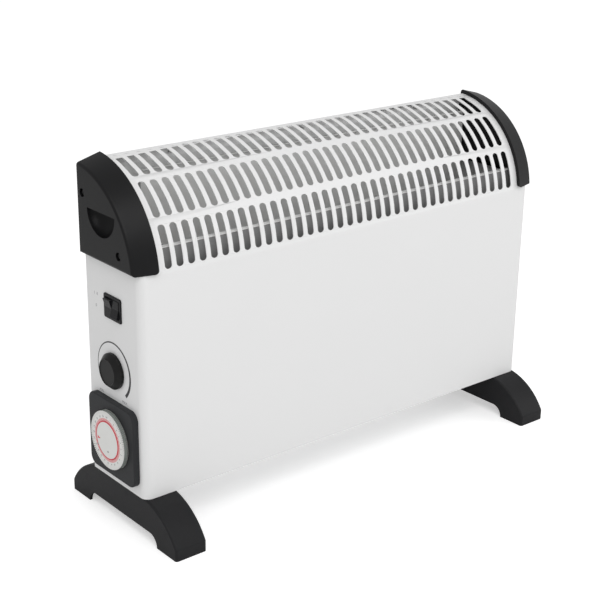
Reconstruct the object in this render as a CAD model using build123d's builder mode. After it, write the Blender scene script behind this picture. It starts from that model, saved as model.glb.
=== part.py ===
from build123d import *
from math import acos, cos, degrees, radians, sin, sqrt
import os

# Convector heater on two feet, control end at -X, front at -Y, standing on the floor at Z = 0.
# The origin is on the floor, under the middle of the casing. Sizes are in millimetres.

# Casing
casing_length = 540.0
casing_depth = 96.0
casing_bottom = 47.0        # the casing's underside over the floor
sheet = 0.8                 # casing sheet
corner_radius = 9.0         # outside of the upright front corners
end_wall_height = 245.0
flange_width = 12.0         # return flanges that the rear panel lies on
fit = 0.3                   # gap between pieces that fit together
panel_fit = 0.2             # gap round a sheet that lies inside another

# Curved grille
grille_radius = 104.0
curve_start = 226.0         # over the casing's underside
grille_reach = 257.0        # from the middle to each end of the curved sheet
slot_columns = 36
slot_pitch = 13.5
slot_width = 6.8
first_row_start = 11.6      # along the curve, from where it starts
slot_rows = (42.5, 40.5, 30.5)
row_gap = 7.5

# End caps
cap_overlap = 20.0          # over the casing's end
cap_reach = 6.0             # past the casing's end
cap_stand = 4.8             # proud of the casing at the inner edge
cap_draw_in = 7.0           # drawn in from the inner edge to the end face
cap_cover = 9.0             # down over the end wall
cap_wall = 2.3
cap_lip = 2.5
cap_back_wall = 2.0
cap_edge_round = 3.2
cap_top_round = 4.0
cap_corner_round = 4.0
cap_screw_low = (-22.0, 250.5)   # Y, and height over the casing's underside
cap_screw_high = (39.5, 299.0)
recess_radius = 4.3
recess_depth = 4.0
boss_wall = 2.0
cap_screw_radius = 1.75
cap_screw_length = 12.0
cap_head_radius = 3.5
cap_head_height = 2.2
lug_width = 14.0
lug_height = 12.0
ear_low = 326.0             # heights of the rear panel's ears over the floor
ear_height = 40.0
ear_depth = 15.0
pocket_y = 7.0
pocket_top = 286.5          # over the casing's underside
pocket_radius = 24.5
pocket_depth = 17.0
pocket_wall = 2.0

# Feet
foot_width = 36.7
foot_inset = 1.6            # outer side, in from the casing's end
foot_reach = 97.5           # from the middle to the toe
foot_toe = 12.0             # height of the upright toe
foot_shoulder = 46.0        # half length of the flat top
foot_bulge = 7.0            # rise of the sloping top over its chord
foot_wall = 3.0
foot_edge_round = 2.5
foot_corner_round = 4.0
arch_height = 12.5
arch_flat = 51.0            # half length of the arch's flat part
foot_screw_spread = 60.0
foot_boss_radius = 6.5
foot_bore_radius = 5.0
foot_screw_radius = 2.4
foot_head_radius = 4.4
foot_head_height = 3.0
foot_seat = 9.0             # plastic under the casing that the screw clamps
nut_flats = 8.0
nut_height = 4.0
screw_gap = 0.1             # round a screw in its hole

# Rear panel
rear_screw_radius = 1.5
rear_screw_length = 7.0
rear_head_radius = 3.2
rear_head_height = 1.8
keyhole_spread = 360.0
keyhole_height = 268.0      # over the casing's underside
keyhole_radius = 5.0
keyhole_slot = 5.0
keyhole_rise = 9.0
bush_x = -230.0
bush_height = 26.0
bush_bore = 3.8
bush_neck = 6.0
bush_flange = 9.0
bush_inner_flange = 7.2
bush_flange_depth = 2.5

# Base plate
base_flange = 14.0
intake_columns = 7
intake_rows = 3
intake_pitch_x = 58.0
intake_pitch_y = 20.0
intake_length = 46.0
intake_width = 8.0

# Heat shields and the partition that keeps the heat off the controls
shield_sheet = 0.6
front_shield_y = -36.0
front_shield_top = 256.0
rear_shield_y = 38.0
rear_shield_top = 262.0
shield_foot = 8.0
shield_hem = 5.0
shield_reach = 262.0
partition_x = -212.0
grommet_y = 4.0
grommet_length = 44.0
grommet_width = 10.0
grommet_wall = 1.5
grommet_height = 103.0      # over the casing's underside

# Heating element
element_height = 80.0       # over the casing's underside
element_span = 360.0        # first mica card to last
card_count = 5
card_width = 56.0
card_height = 40.0
card_sheet = 1.0
element_wire = 0.8
element_runs = 4
run_pitch = 12.0
layer_gap = 16.0
element_tail = 4.0
bend_reach = 10.0
card_hole_gap = 0.3
rail_height = 14.0
rail_reach = 188.0
bracket_x = 150.0
bracket_arm = 6.0
bracket_bar = 12.0
cutout_x = -120.0
cutout_radius = 8.0
cutout_height = 7.0

# Twin rocker switch
switch_y = 0.0
switch_height = 191.0
bezel_width = 30.3
bezel_height = 25.2
bezel_proud = 1.6
bezel_rim = 2.8
bezel_corner = 2.0
switch_depth = 22.0
switch_body_width = 27.0
switch_body_height = 21.6
rocker_gap = 0.35
rocker_angle = 8.0          # each way from level
rocker_pivot_depth = 2.5    # behind the end wall's outer face
rocker_proud = 0.5          # a pressed half over the bezel
rocker_back = 2.4           # behind the pivot
pivot_radius = 1.0
pivot_gap = 0.05
switch_well = 10.0          # depth of the hollow that the rockers swing in
tab_spread = 12.0
tab_rise = 10.0
tab_size = (7.0, 0.8, 6.3)

# Thermostat
knob_y = 3.0
knob_height = 124.0
knob_radius = 18.7
knob_top_radius = 14.0
knob_skirt = 3.0
knob_depth = 8.2
knob_lift = 0.4
knob_dish = 0.6
knob_hollow = 13.0
knob_hollow_depth = 4.5
knob_seat = 2.2             # how far the shaft enters the knob
knob_groove_width = 1.6
shaft_radius = 3.0
shaft_gap = 0.05
bushing_radius = 4.9
bushing_length = 4.0
thermostat_nut_flats = 14.0
thermostat_nut_height = 2.4
thermostat_width = 28.0
thermostat_tall = 24.0
thermostat_depth = 26.0
shaft_inside = 8.0

# Day timer
timer_y = 2.5
timer_height = 51.0
timer_size = 82.0
timer_proud = 6.5
timer_corner = 10.0
timer_edge_round = 1.2
timer_face = 2.0
housing_size = 64.0
housing_corner = 3.0
housing_depth = 38.0
dial_proud = 4.5
tappet_count = 96
tappet_tip = 30.9
tappet_width = 1.5
tappet_length = 3.9
tappet_gap = 0.15           # between a loose tappet and the dial
loose_tappets = 4
dial_outer = 27.3
dial_flange = 0.6
dial_bore = 20.6
hub_gap = 0.1
hub_proud = 0.4
well_gap = 0.5
timer_screw_spread = 70.0
timer_screw_radius = 1.5
timer_screw_length = 4.4
timer_head_radius = 2.8
timer_head_height = 1.6
timer_post_radius = 3.2

# Terminal block and wires
block_x = -232.0
block_y = 14.0
block_size = (12.0, 34.0, 14.0)
pole_pitch = 10.0
wire_radius = 1.2
wire_bend = 8.0
earth_x = -230.0
earth_y = -20.0
wire_entry = 3.0
entry_gap = 0.15
wire_lift = 6.5             # of the terminals over the base plate
riser_x = -217.5            # wires that climb beside the partition

# Worked out from the sizes above
end_x = casing_length / 2
front_y = -casing_depth / 2
rear_y = casing_depth / 2
curve_y = front_y + grille_radius
curve_z = casing_bottom + curve_start
end_wall_top = casing_bottom + end_wall_height
base_top = casing_bottom + sheet
flange_y = rear_y - sheet
inner_x = end_x - sheet
cap_inner_x = end_x - cap_overlap
cap_outer_x = end_x + cap_reach
cap_bottom = end_wall_top - cap_cover
cap_rear = rear_y + fit + cap_back_wall
cap_radius = grille_radius + cap_stand
cap_end_radius = cap_radius - cap_draw_in
foot_x = end_x - foot_inset - foot_width / 2
element_z = casing_bottom + element_height
sides = (("left", -1), ("right", 1))


def curve_top(radius, y):
    # height of a curve round the grille's axis, at a depth y
    return curve_z + sqrt(radius**2 - (y - curve_y) ** 2)


def curved_outline(plane, radius, rear, bottom):
    # side outline of the casing: upright front, quarter curve over the top, upright back
    rear_angle = degrees(acos((rear - curve_y) / radius))
    front = curve_y - radius
    with BuildSketch(plane) as outline:
        with BuildLine():
            CenterArc((curve_y, curve_z), radius, rear_angle, 180 - rear_angle)
            Polyline(
                (rear, curve_top(radius, rear)), (rear, bottom), (front, bottom), (front, curve_z)
            )
        make_face()
    return outline.sketch


def casing_solid(inset, run_past):
    # the casing as a full block, drawn in by inset and run past its open back and bottom
    side = end_x - inset
    front = front_y + inset
    back = rear_y + run_past
    bottom = casing_bottom - run_past
    with BuildPart() as block:
        with BuildSketch(Plane.XY.offset(bottom)):
            with BuildLine():
                FilletPolyline(
                    (-side, back), (-side, front), (side, front), (side, back),
                    radius=corner_radius - inset,
                )
                Line((side, back), (-side, back))
            make_face()
        extrude(amount=curve_z + grille_radius + run_past - bottom)
        outline = curved_outline(Plane.YZ, grille_radius - inset, back, bottom)
        extrude(outline, amount=casing_length, both=True, mode=Mode.INTERSECT)
    return block.part


def tube(points, radius, bend):
    # round wire along straight runs joined by arcs
    with BuildPart() as wire:
        with BuildLine():
            path = FilletPolyline(*points, radius=bend)
        with BuildSketch(Plane(path @ 0, z_dir=path % 0)):
            Circle(radius)
        sweep()
    return wire.part


def finish(piece, name):
    piece.label = name
    export_step(piece, f"parts/{name}.step")


os.makedirs("parts", exist_ok=True)

# Places of the controls on the left end wall, as Y and Z
switch_at = (switch_y, casing_bottom + switch_height)
knob_at = (knob_y, casing_bottom + knob_height)
timer_at = (timer_y, casing_bottom + timer_height)
low_cap_screw = (cap_screw_low[0], casing_bottom + cap_screw_low[1])
high_cap_screw = (cap_screw_high[0], casing_bottom + cap_screw_high[1])
outer_wall = Plane.YZ.offset(-end_x)

# Rear panel screws, as X and Z: down both sides, along the top and along the bottom
side_screw_x = inner_x - flange_width / 2
rear_top = curve_top(grille_radius - sheet, rear_y)
panel_top = rear_top - fit
side_screw_span = (casing_bottom + 25, casing_bottom + 125, end_wall_top - 20)
rear_screw_points = [(s * side_screw_x, z) for s in (-1, 1) for z in side_screw_span]
rear_screw_points += [(x, rear_top - flange_width / 2) for x in (-170, 0, 170)]
rear_screw_points += [(x, base_top + base_flange / 2) for x in (-130, 130)]
rear_face = Plane(origin=(0, rear_y, 0), x_dir=(1, 0, 0), z_dir=(0, -1, 0))

# Front shell: one sheet, folded round both ends and curved over the top
with BuildPart() as front_shell:
    add(casing_solid(0, 0))
    add(casing_solid(sheet, 5 * sheet), mode=Mode.SUBTRACT)
    for side in (-1, 1):
        with Locations((side * (grille_reach + end_x) / 2, 0, end_wall_top)):
            Box(
                end_x - grille_reach + sheet, casing_depth + sheet, grille_radius,
                align=(Align.CENTER, Align.CENTER, Align.MIN), mode=Mode.SUBTRACT,
            )
        # return flange down the end wall's back edge
        with Locations((side * (inner_x - flange_width / 2), flange_y - sheet / 2, casing_bottom)):
            Box(
                flange_width, sheet, end_wall_height,
                align=(Align.CENTER, Align.CENTER, Align.MIN),
            )
        # lug over the end wall that takes the cap's lower screw
        with BuildSketch(Plane.YZ.offset(side * end_x)):
            with Locations((low_cap_screw[0], end_wall_top - lug_height / 2)):
                RectangleRounded(lug_width, 3 * lug_height, lug_width / 4)
            with Locations(low_cap_screw):
                Circle(cap_screw_radius + screw_gap, mode=Mode.SUBTRACT)
        extrude(amount=-side * sheet)
    # flange under the curved sheet's back edge
    with Locations((0, flange_y - sheet / 2, rear_top - flange_width)):
        Box(
            2 * grille_reach, sheet, flange_width,
            align=(Align.CENTER, Align.CENTER, Align.MIN),
        )
    # three rows of slots, each row cut square to the middle of its stretch of curve
    along = first_row_start
    for length in slot_rows:
        lean = (along + length / 2) / grille_radius
        outward = Vector(0, -cos(lean), sin(lean))
        middle = Vector(0, curve_y, curve_z) + outward * grille_radius
        with BuildSketch(Plane(origin=middle, x_dir=(1, 0, 0), z_dir=outward)):
            with GridLocations(slot_pitch, slot_pitch, slot_columns, 1):
                SlotOverall(length, slot_width, rotation=90)
        extrude(amount=slot_width, both=True, mode=Mode.SUBTRACT)
        along += length + row_gap
    # cut-outs for the controls
    with BuildSketch(outer_wall):
        with Locations(switch_at):
            Rectangle(switch_body_width + 2 * panel_fit, switch_body_height + 2 * panel_fit)
        with Locations(knob_at):
            Circle(bushing_radius + panel_fit)
        with Locations(timer_at):
            Rectangle(housing_size + 2 * panel_fit, housing_size + 2 * panel_fit)
            with GridLocations(timer_screw_spread, timer_screw_spread, 2, 2):
                Circle(timer_screw_radius + screw_gap)
    extrude(amount=2 * sheet, both=True, mode=Mode.SUBTRACT)
    with BuildSketch(rear_face):
        with Locations(*[(x, z) for x, z in rear_screw_points if z > base_top + base_flange]):
            Circle(rear_screw_radius + screw_gap)
    extrude(amount=3 * sheet, mode=Mode.SUBTRACT)
finish(front_shell.part, "front_shell")

# Rear panel: flat sheet between the end walls, with an ear bent forward at each end
with BuildPart() as rear_panel:
    with BuildSketch(rear_face):
        with Locations((0, (casing_bottom + end_wall_top) / 2)):
            Rectangle(2 * (inner_x - fit), end_wall_height)
        with Locations((0, (casing_bottom + panel_top) / 2)):
            Rectangle(2 * grille_reach, panel_top - casing_bottom)
        with Locations((0, ear_low + ear_height / 2)):
            Rectangle(casing_length, ear_height)
        with Locations(*rear_screw_points):
            Circle(rear_screw_radius + screw_gap, mode=Mode.SUBTRACT)
        # keyholes for hanging it on a wall, wide end down
        with Locations((0, casing_bottom + keyhole_height)):
            with GridLocations(keyhole_spread, keyhole_spread, 2, 1):
                Circle(keyhole_radius, mode=Mode.SUBTRACT)
            with Locations((0, keyhole_rise / 2)):
                with GridLocations(keyhole_spread, keyhole_spread, 2, 1):
                    SlotCenterToCenter(
                        keyhole_rise, keyhole_slot, rotation=90, mode=Mode.SUBTRACT
                    )
        with Locations((bush_x, casing_bottom + bush_height)):
            Circle(bush_neck, mode=Mode.SUBTRACT)
    extrude(amount=sheet)
    for side in (-1, 1):
        with BuildSketch(Plane.YZ.offset(side * end_x)):
            with Locations((rear_y - ear_depth / 2, ear_low + ear_height / 2)):
                Rectangle(ear_depth, ear_height)
            with Locations(high_cap_screw):
                Circle(cap_screw_radius + screw_gap, mode=Mode.SUBTRACT)
        extrude(amount=-side * sheet)
finish(rear_panel.part, "rear_panel")

# Base plate: floor of the casing, with air slots and a back flange for the rear panel
base_half = inner_x - panel_fit
base_front = front_y + sheet + panel_fit
with BuildPart() as base_plate:
    with BuildSketch(Plane.XY.offset(casing_bottom)):
        with BuildLine():
            FilletPolyline(
                (-base_half, flange_y - sheet), (-base_half, base_front),
                (base_half, base_front), (base_half, flange_y - sheet),
                radius=corner_radius - sheet,
            )
            Line((base_half, flange_y - sheet), (-base_half, flange_y - sheet))
        make_face()
        with GridLocations(intake_pitch_x, intake_pitch_y, intake_columns, intake_rows):
            SlotOverall(intake_length, intake_width, mode=Mode.SUBTRACT)
        with GridLocations(2 * foot_x, foot_screw_spread, 2, 2):
            Circle(foot_screw_radius + screw_gap, mode=Mode.SUBTRACT)
        with Locations((earth_x, earth_y)):
            Circle(rear_screw_radius + screw_gap, mode=Mode.SUBTRACT)
    extrude(amount=sheet)
    back_half = inner_x - flange_width - panel_fit
    with BuildSketch(Plane(origin=(0, flange_y, 0), x_dir=(1, 0, 0), z_dir=(0, -1, 0))):
        with Locations((0, casing_bottom)):
            Rectangle(2 * back_half, sheet + base_flange, align=(Align.CENTER, Align.MIN))
        with Locations(*[(x, z) for x, z in rear_screw_points if z < base_top + base_flange]):
            Circle(rear_screw_radius + screw_gap, mode=Mode.SUBTRACT)
    extrude(amount=sheet)
    with Locations((0, base_front, casing_bottom)):
        Box(
            2 * (base_half - corner_radius), sheet, sheet + base_flange,
            align=(Align.CENTER, Align.MIN, Align.MIN),
        )
finish(base_plate.part, "base_plate")


def scoop(plane, grow):
    # hollow for the fingers: half an ellipsoid under a flat ceiling
    radius = pocket_radius + grow
    with BuildPart() as hollow:
        with BuildSketch(plane):
            Ellipse(pocket_depth + grow, radius)
            Rectangle(radius, radius, align=(Align.MIN, Align.MIN), mode=Mode.INTERSECT)
        revolve(axis=Axis(plane.origin, plane.x_dir), revolution_arc=360)
        split(bisect_by=Plane.XY.offset(plane.origin.Z + grow), keep=Keep.BOTTOM)
    return hollow.part


def end_cap(side):
    # moulded cap, drawn in towards its end face, hollow, open towards the casing
    inner = Plane.YZ.offset(side * cap_inner_x)
    outer = Plane.YZ.offset(side * cap_outer_x)
    back_inside = rear_y + fit
    with BuildPart() as cap:
        loft(
            [
                curved_outline(inner, cap_radius, cap_rear, cap_bottom),
                curved_outline(outer, cap_end_radius, cap_rear, cap_bottom),
            ]
        )
        top_edge = cap.edges().filter_by(lambda e: abs(e.center().Y - cap_rear) < 0.01)
        fillet(top_edge.sort_by(Axis.Z)[-1], cap_top_round)
        face = cap.faces().sort_by(Axis.X)[-1 if side > 0 else 0]
        fillet(face.edges(), cap_edge_round)
        # the hollow behind the lip
        lip_share = cap_lip / (cap_outer_x - cap_inner_x)
        wall_share = 1 - cap_wall / (cap_outer_x - cap_inner_x)
        loft(
            [
                curved_outline(
                    Plane.YZ.offset(side * (cap_inner_x + cap_lip)),
                    cap_radius - cap_draw_in * lip_share - cap_wall, back_inside,
                    cap_bottom + cap_wall,
                ),
                curved_outline(
                    Plane.YZ.offset(side * (cap_outer_x - cap_wall)),
                    cap_radius - cap_draw_in * wall_share - cap_wall, back_inside,
                    cap_bottom + cap_wall,
                ),
            ],
            mode=Mode.SUBTRACT,
        )
        # bosses behind the screw recesses
        with BuildSketch(Plane.YZ.offset(side * end_x)):
            with Locations(low_cap_screw, high_cap_screw):
                Circle(recess_radius + boss_wall)
        extrude(amount=side * (cap_reach - cap_wall / 2))
        pocket_at = Vector(side * cap_outer_x, pocket_y, casing_bottom + pocket_top)
        inward = Plane(origin=pocket_at, x_dir=(-side, 0, 0), z_dir=(0, side, 0))
        add(scoop(inward, pocket_wall))
        add(scoop(inward, 0), mode=Mode.SUBTRACT)
        with BuildSketch(outer):
            with Locations(low_cap_screw, high_cap_screw):
                Circle(recess_radius)
        extrude(amount=-side * recess_depth, mode=Mode.SUBTRACT)
        with BuildSketch(outer):
            with Locations(low_cap_screw, high_cap_screw):
                Circle(cap_screw_radius + screw_gap)
        extrude(amount=-side * 2 * cap_reach, mode=Mode.SUBTRACT)
        # room for the end wall below its top, and for the curved sheet
        add(casing_room(end_x, casing_bottom, end_wall_top + fit), mode=Mode.SUBTRACT)
        add(casing_room(grille_reach, casing_bottom, 2 * cap_bottom), mode=Mode.SUBTRACT)
        corner = cap.edges().filter_by(
            lambda e: abs(abs(e.center().X) - cap_inner_x) < 0.01
            and abs(e.center().Z - cap_bottom) < 0.01
            and e.center().Y < 0
        )
        fillet(corner, cap_corner_round)
    return cap.part


def casing_room(half_length, low, high):
    # what the sheet takes up, with the fitting gap round it, between two heights
    with BuildPart() as room:
        add(casing_solid(-fit, 0))
        with Locations((0, 0, low)):
            Box(
                2 * (half_length + fit), 2 * casing_depth, high - low,
                align=(Align.CENTER, Align.CENTER, Align.MIN), mode=Mode.INTERSECT,
            )
    return room.part


for name, side in sides:
    finish(end_cap(side), f"{name}_end_cap")


def pan_screw(head_radius, head_height, shank_radius, length):
    # head on the seat, shank along +Z
    with BuildPart() as screw:
        with Locations((0, 0, -head_height)):
            Cylinder(
                head_radius, head_height, align=(Align.CENTER, Align.CENTER, Align.MIN)
            )
        chamfer(screw.edges().sort_by(Axis.Z)[0], head_height / 3)
        Cylinder(shank_radius, length, align=(Align.CENTER, Align.CENTER, Align.MIN))
    return screw.part


def screw_set(screw, seats, name):
    # the same screw at each seat, a plane whose Z runs into the work
    with BuildPart() as group:
        for seat in seats:
            add(seat.location * screw)
    finish(group.part, name)


cap_seat_x = cap_outer_x - recess_depth
screw_set(
    pan_screw(cap_head_radius, cap_head_height, cap_screw_radius, cap_screw_length),
    [
        Plane(origin=(s * cap_seat_x, y, z), z_dir=(-s, 0, 0))
        for s in (-1, 1)
        for y, z in (low_cap_screw, high_cap_screw)
    ],
    "end_cap_screws",
)
screw_set(
    pan_screw(rear_head_radius, rear_head_height, rear_screw_radius, rear_screw_length),
    [Plane(origin=(x, rear_y, z), z_dir=(0, -1, 0)) for x, z in rear_screw_points],
    "rear_screws",
)


def foot_outline(bottom):
    # side outline of a foot: flat top, bulging slopes, upright toes
    rise = casing_bottom - foot_toe
    run = foot_reach - foot_shoulder
    chord = sqrt(rise**2 + run**2)
    peak = ((foot_reach + foot_shoulder) / 2, (casing_bottom + foot_toe) / 2)
    peak = (peak[0] + foot_bulge * rise / chord, peak[1] + foot_bulge * run / chord)
    with BuildLine() as line:
        Line((-foot_shoulder, casing_bottom), (foot_shoulder, casing_bottom))
        ThreePointArc((foot_shoulder, casing_bottom), peak, (foot_reach, foot_toe))
        Polyline(
            (foot_reach, foot_toe), (foot_reach, bottom), (-foot_reach, bottom),
            (-foot_reach, foot_toe),
        )
        ThreePointArc(
            (-foot_reach, foot_toe), (-peak[0], peak[1]), (-foot_shoulder, casing_bottom)
        )
    return line.line


def foot(side):
    middle = Plane.YZ.offset(side * foot_x)
    inside = foot_width - 2 * foot_wall
    boss_at = [(side * foot_x, t * foot_screw_spread / 2) for t in (-1, 1)]
    # what is left open under the top: the inner room less its screw bosses
    with BuildPart() as room:
        with BuildSketch(middle):
            with BuildLine():
                add(foot_outline(-2 * foot_wall))
            make_face()
            offset(amount=-foot_wall)
        extrude(amount=inside / 2, both=True)
        with Locations(*boss_at):
            Cylinder(
                foot_boss_radius, casing_bottom,
                align=(Align.CENTER, Align.CENTER, Align.MIN), mode=Mode.SUBTRACT,
            )
    with BuildPart() as body:
        with BuildSketch(middle) as outline:
            with BuildLine():
                add(foot_outline(0))
            make_face()
            fillet(outline.vertices().filter_by(lambda v: v.Y > 1), foot_corner_round)
        extrude(amount=foot_width / 2, both=True)
        rim = body.edges().filter_by(
            lambda e: e.center().Z > 1 and abs(e.center().X - side * foot_x) > inside / 2
        )
        fillet(rim, foot_edge_round)
        with BuildSketch(middle):
            with BuildLine():
                Line((-arch_flat, arch_height), (arch_flat, arch_height))
                TangentArc((arch_flat, arch_height), (arch_flat + arch_height, 0), tangent=(1, 0))
                Line((arch_flat + arch_height, 0), (-arch_flat - arch_height, 0))
                TangentArc(
                    (-arch_flat, arch_height), (-arch_flat - arch_height, 0), tangent=(-1, 0)
                )
            make_face()
        extrude(amount=foot_width, both=True, mode=Mode.SUBTRACT)
        add(room.part, mode=Mode.SUBTRACT)
        with BuildSketch(Plane.XY.offset(casing_bottom)):
            with Locations(*boss_at):
                Circle(foot_screw_radius + screw_gap)
        extrude(amount=-casing_bottom, mode=Mode.SUBTRACT)
        with BuildSketch(Plane.XY.offset(casing_bottom - foot_seat)):
            with Locations(*boss_at):
                Circle(foot_bore_radius)
        extrude(amount=-casing_bottom, mode=Mode.SUBTRACT)
    return body.part


for name, side in sides:
    finish(foot(side), f"{name}_foot")

foot_screw_seats = [
    Plane(origin=(s * foot_x, t * foot_screw_spread / 2, casing_bottom - foot_seat))
    for s in (-1, 1)
    for t in (-1, 1)
]
screw_set(
    pan_screw(
        foot_head_radius, foot_head_height, foot_screw_radius,
        foot_seat + sheet + nut_height + sheet,
    ),
    foot_screw_seats,
    "foot_screws",
)
with BuildPart() as foot_nuts:
    with BuildSketch(Plane.XY.offset(base_top)):
        with GridLocations(2 * foot_x, foot_screw_spread, 2, 2):
            RegularPolygon(nut_flats / 2, 6, major_radius=False)
            Circle(foot_screw_radius + screw_gap, mode=Mode.SUBTRACT)
    extrude(amount=nut_height)
finish(foot_nuts.part, "foot_nuts")

# Cord inlet bush, snapped into the rear panel
with BuildPart() as cord_inlet_bush:
    back = Plane(
        origin=(bush_x, rear_y, casing_bottom + bush_height), x_dir=(1, 0, 0), z_dir=(0, 1, 0)
    )
    with BuildSketch(back):
        Circle(bush_flange)
    extrude(amount=bush_flange_depth)
    fillet(cord_inlet_bush.edges().sort_by(Axis.Y)[-1], sheet)
    with BuildSketch(back):
        Circle(bush_neck)
    extrude(amount=-2 * sheet)
    with BuildSketch(back.offset(-sheet)):
        Circle(bush_inner_flange)
    extrude(amount=-bush_flange_depth)
    with BuildSketch(back.offset(bush_flange_depth)):
        Circle(bush_bore)
    extrude(amount=-4 * bush_flange_depth, mode=Mode.SUBTRACT)
finish(cord_inlet_bush.part, "cord_inlet_bush")


def bent_shield(y, low_x, high_x, top, foot_towards):
    # upright sheet with a foot on the base plate and a stiffening hem along the top
    side = -1 if foot_towards == "front" else 1
    with BuildPart() as shield:
        with Locations(((low_x + high_x) / 2, y, base_top)):
            Box(
                high_x - low_x, shield_sheet, top - base_top,
                align=(Align.CENTER, Align.CENTER, Align.MIN),
            )
        foot_middle = y + side * (shield_foot + shield_sheet) / 2
        with Locations(((low_x + high_x) / 2, foot_middle, base_top)):
            Box(
                high_x - low_x, shield_foot, shield_sheet,
                align=(Align.CENTER, Align.CENTER, Align.MIN),
            )
        hem_middle = y - side * (shield_hem + shield_sheet) / 2
        with Locations(((low_x + high_x) / 2, hem_middle, top)):
            Box(
                high_x - low_x, shield_hem, shield_sheet,
                align=(Align.CENTER, Align.CENTER, Align.MAX),
            )
    return shield.part


rear_shield_end = partition_x + 2 * sheet
finish(
    bent_shield(
        front_shield_y, -shield_reach, shield_reach, casing_bottom + front_shield_top, "front"
    ),
    "front_heat_shield",
)
finish(
    bent_shield(
        rear_shield_y, rear_shield_end, shield_reach, casing_bottom + rear_shield_top, "rear"
    ),
    "rear_heat_shield",
)

# Partition between the controls and the heat, with a hole for the wires
partition_front = front_shield_y + shield_sheet / 2 + shield_hem + panel_fit
partition_back = flange_y - sheet - panel_fit
grommet_at = (grommet_y, casing_bottom + grommet_height)
with BuildPart() as control_partition:
    with BuildSketch(Plane.YZ.offset(partition_x)):
        with Locations(((partition_front + partition_back) / 2, base_top)):
            Rectangle(
                partition_back - partition_front, end_wall_top - base_top,
                align=(Align.CENTER, Align.MIN),
            )
        with Locations(grommet_at):
            SlotOverall(grommet_length, grommet_width, mode=Mode.SUBTRACT)
    extrude(amount=sheet)
    with Locations((partition_x, (partition_front + partition_back) / 2, base_top)):
        Box(
            flange_width, partition_back - partition_front, sheet,
            align=(Align.MAX, Align.CENTER, Align.MIN),
        )
finish(control_partition.part, "control_partition")

with BuildPart() as partition_grommet:
    for lift, depth, wide in ((-sheet, sheet, 1), (0, sheet, 0), (sheet, sheet, 1)):
        with BuildSketch(Plane.YZ.offset(partition_x + lift)):
            with Locations(grommet_at):
                grow = 2 * grommet_wall * wide
                SlotOverall(grommet_length + grow, grommet_width + grow)
                SlotOverall(
                    grommet_length - 2 * grommet_wall, grommet_width - 2 * grommet_wall,
                    mode=Mode.SUBTRACT,
                )
        extrude(amount=depth)
finish(partition_grommet.part, "partition_grommet")

# Heating element: two zigzag wires through mica cards, between two rails on brackets
run_y = [(i - (element_runs - 1) / 2) * run_pitch for i in range(element_runs)]
layers = (("low", element_z + layer_gap / 2), ("high", element_z - layer_gap / 2))
card_x = [
    -element_span / 2 + i * element_span / (card_count - 1) for i in range(card_count)
]
with BuildPart() as mica_cards:
    for x in card_x:
        with BuildSketch(Plane.YZ.offset(x - card_sheet / 2)):
            with Locations((0, element_z)):
                Rectangle(card_width, card_height)
            with Locations(*[(y, z) for y in run_y for _, z in layers]):
                Circle(element_wire + card_hole_gap, mode=Mode.SUBTRACT)
        extrude(amount=card_sheet)
finish(mica_cards.part, "mica_cards")

for name, z in layers:
    turn_x = element_span / 2 + bend_reach
    with BuildPart() as element:
        with BuildLine() as route:
            for i, y in enumerate(run_y):
                start = -turn_x - element_tail if i == 0 else -turn_x
                end = -turn_x - element_tail if i == element_runs - 1 else -turn_x
                if i % 2 == 0:
                    Line((start, y, z), (turn_x, y, z))
                    ThreePointArc(
                        (turn_x, y, z), (turn_x + run_pitch / 2, y + run_pitch / 2, z),
                        (turn_x, y + run_pitch, z),
                    )
                else:
                    Line((turn_x, y, z), (end, y, z))
                    if i < element_runs - 1:
                        ThreePointArc(
                            (-turn_x, y, z), (-turn_x - run_pitch / 2, y + run_pitch / 2, z),
                            (-turn_x, y + run_pitch, z),
                        )
        path = route.wires()[0]
        with BuildSketch(Plane(path @ 0, z_dir=path % 0)):
            Circle(element_wire)
        sweep()
    finish(element.part, f"{name}_heat_element")

with BuildPart() as element_rails:
    for side in (-1, 1):
        with Locations((0, side * (card_width / 2 + sheet / 2), element_z)):
            Box(2 * rail_reach, sheet, rail_height)
finish(element_rails.part, "element_rails")

arm_inner = card_width / 2 + sheet
with BuildPart() as element_brackets:
    for side in (-1, 1):
        with BuildSketch(Plane.YZ.offset(side * bracket_x)):
            with Locations((0, base_top)):
                Rectangle(
                    2 * (arm_inner + bracket_arm), element_z + rail_height / 2 - base_top,
                    align=(Align.CENTER, Align.MIN),
                )
            with Locations((0, base_top + bracket_bar)):
                Rectangle(
                    2 * arm_inner, element_z, align=(Align.CENTER, Align.MIN),
                    mode=Mode.SUBTRACT,
                )
        extrude(amount=side * sheet)
        with Locations((side * bracket_x, 0, base_top)):
            Box(
                2 * flange_width, 2 * arm_inner, sheet,
                align=(Align.CENTER, Align.CENTER, Align.MIN),
            )
finish(element_brackets.part, "element_brackets")

# Thermal cut-out on a small bracket that stands on the rear rail
rail_top = element_z + rail_height / 2
cutout_y = card_width / 2 + sheet / 2 - cutout_radius
cutout_z = rail_top + rail_height
with BuildPart() as cutout_bracket:
    with Locations((cutout_x, card_width / 2 + sheet / 2, rail_top)):
        Box(
            2 * cutout_radius, sheet, cutout_z - rail_top,
            align=(Align.CENTER, Align.CENTER, Align.MIN),
        )
    with Locations((cutout_x, card_width / 2 + sheet, cutout_z)):
        Box(
            2 * cutout_radius, 2 * cutout_radius + sheet, sheet,
            align=(Align.CENTER, Align.MAX, Align.MIN),
        )
finish(cutout_bracket.part, "cutout_bracket")

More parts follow.
